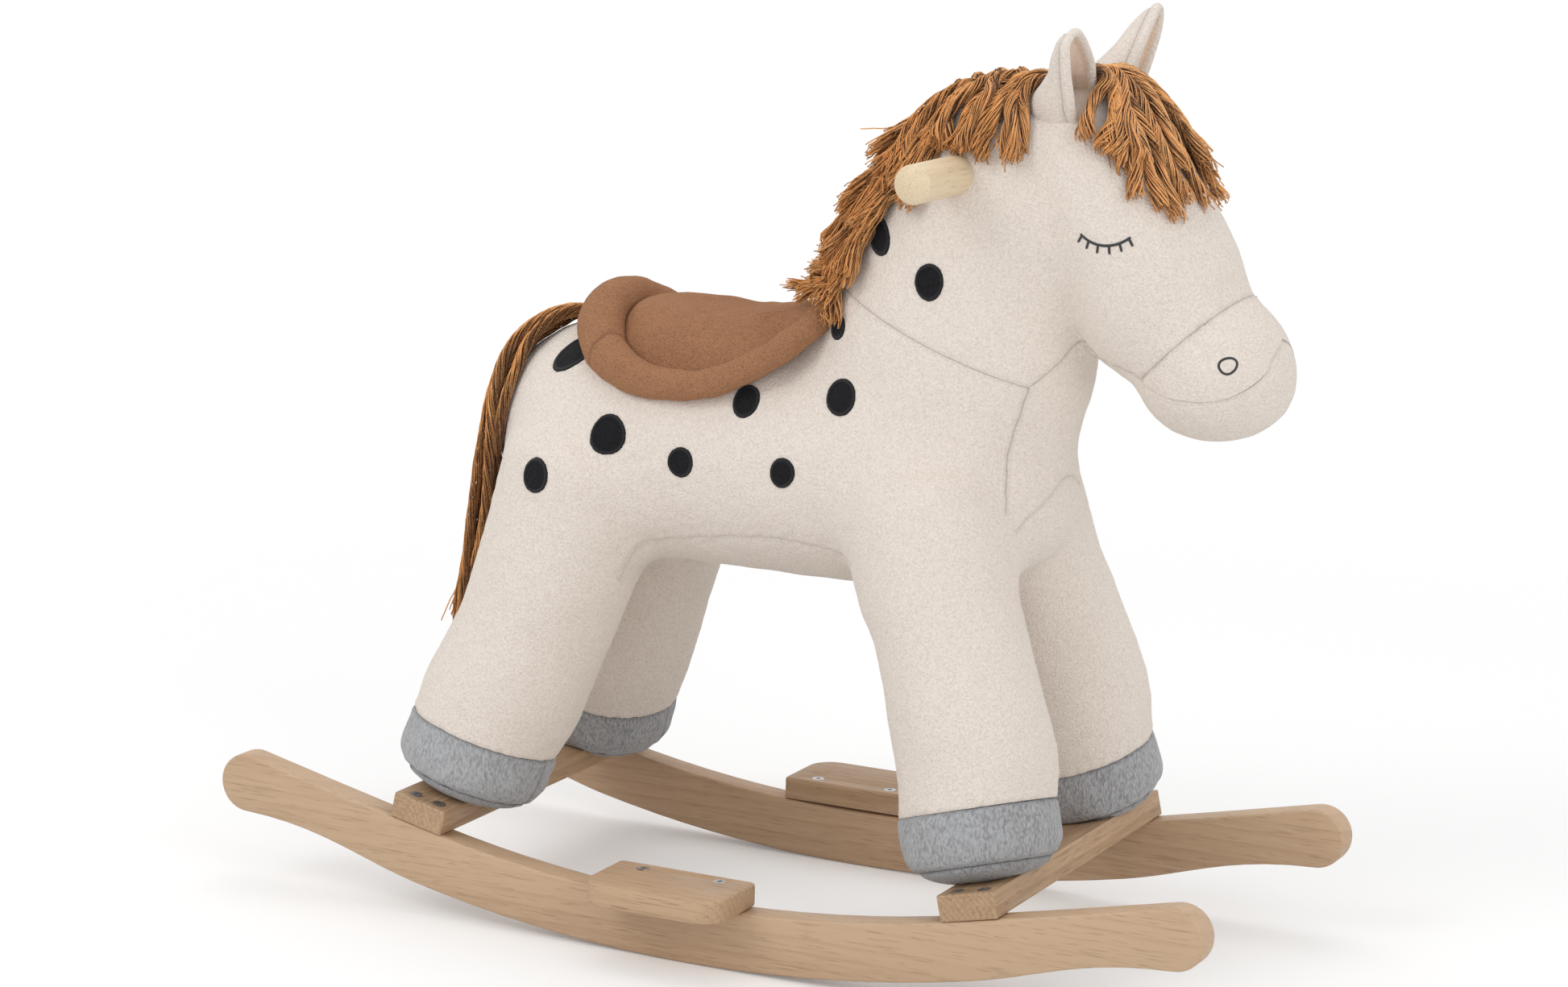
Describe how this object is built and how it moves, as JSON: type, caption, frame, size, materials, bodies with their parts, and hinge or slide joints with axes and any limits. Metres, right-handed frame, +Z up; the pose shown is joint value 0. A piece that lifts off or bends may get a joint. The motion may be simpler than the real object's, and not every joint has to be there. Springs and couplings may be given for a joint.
{
  "type": "rocking horse",
  "caption": "Stuffed plush horse with a padded saddle, yarn mane and wooden hand grips, bolted by its legs to slats across two curved wooden rockers with footrests.",
  "frame": {"origin": "on the floor, under the middle of the rockers, when the horse stands level", "axes": "+X towards the horse's head, along the rockers; +Y towards its left side; +Z up"},
  "size_m": [0.7, 0.345, 0.603],
  "materials": {
    "rocker_wood": "oiled light brown beech",
    "slat_wood": "oiled darker brown hardwood",
    "footrest_wood": "oiled darker brown hardwood",
    "dowel_wood": "plain pale dowel",
    "frame_wood": "plain sawn softwood",
    "steel": "zinc-plated",
    "fleece": "short cream fleece",
    "hoof_plush": "short grey plush",
    "saddle_plush": "short brown plush",
    "yarn": "twisted caramel yarn",
    "stuffing": "white fibre wadding",
    "spot_plush": "black short plush",
    "thread": "dark grey embroidery thread"
  },
  "bodies": {
    "horse": {"rocker_right": "rocker_wood", "rocker_left": "rocker_wood", "front_slat": "slat_wood", "rear_slat": "slat_wood", "footrest_right": "footrest_wood", "footrest_left": "footrest_wood", "slat_screws": "steel", "footrest_screws": "steel", "leg_bolts": "steel", "bolt_washers": "steel", "barrel_nuts": "steel", "seat_board": "frame_wood", "leg_post_front_right": "frame_wood", "leg_post_front_left": "frame_wood", "leg_post_rear_right": "frame_wood", "leg_post_rear_left": "frame_wood", "post_screws": "steel", "neck_board": "frame_wood", "neck_board_screws": "steel", "handle_dowel": "dowel_wood", "handle_pin": "steel", "body_cover": "fleece", "head_cover": "fleece", "muzzle_cover": "fleece", "leg_cover_front_right": "fleece", "leg_cover_front_left": "fleece", "leg_cover_rear_right": "fleece", "leg_cover_rear_left": "fleece", "hoof_front_right": "hoof_plush", "hoof_front_left": "hoof_plush", "hoof_rear_right": "hoof_plush", "hoof_rear_left": "hoof_plush", "sole_front_right": "hoof_plush", "sole_front_left": "hoof_plush", "sole_rear_right": "hoof_plush", "sole_rear_left": "hoof_plush", "body_filling": "stuffing", "head_filling": "stuffing", "leg_filling_front_right": "stuffing", "leg_filling_front_left": "stuffing", "leg_filling_rear_right": "stuffing", "leg_filling_rear_left": "stuffing", "ear_right": "fleece", "ear_left": "fleece", "saddle_seat": "saddle_plush", "saddle_roll": "saddle_plush", "mane": "yarn", "forelock": "yarn", "spots": "spot_plush", "eye_stitches": "thread", "nostril_stitches": "thread"},
    "tail": {"tail": "yarn"}
  },
  "joints": [
    {"name": "tail_swing", "type": "hinge", "parent": "horse", "child": "tail", "pos_m": [-0.156, 0, 0.4], "axis": [0, 1, 0], "range_deg": [0, 40]}
  ]
}
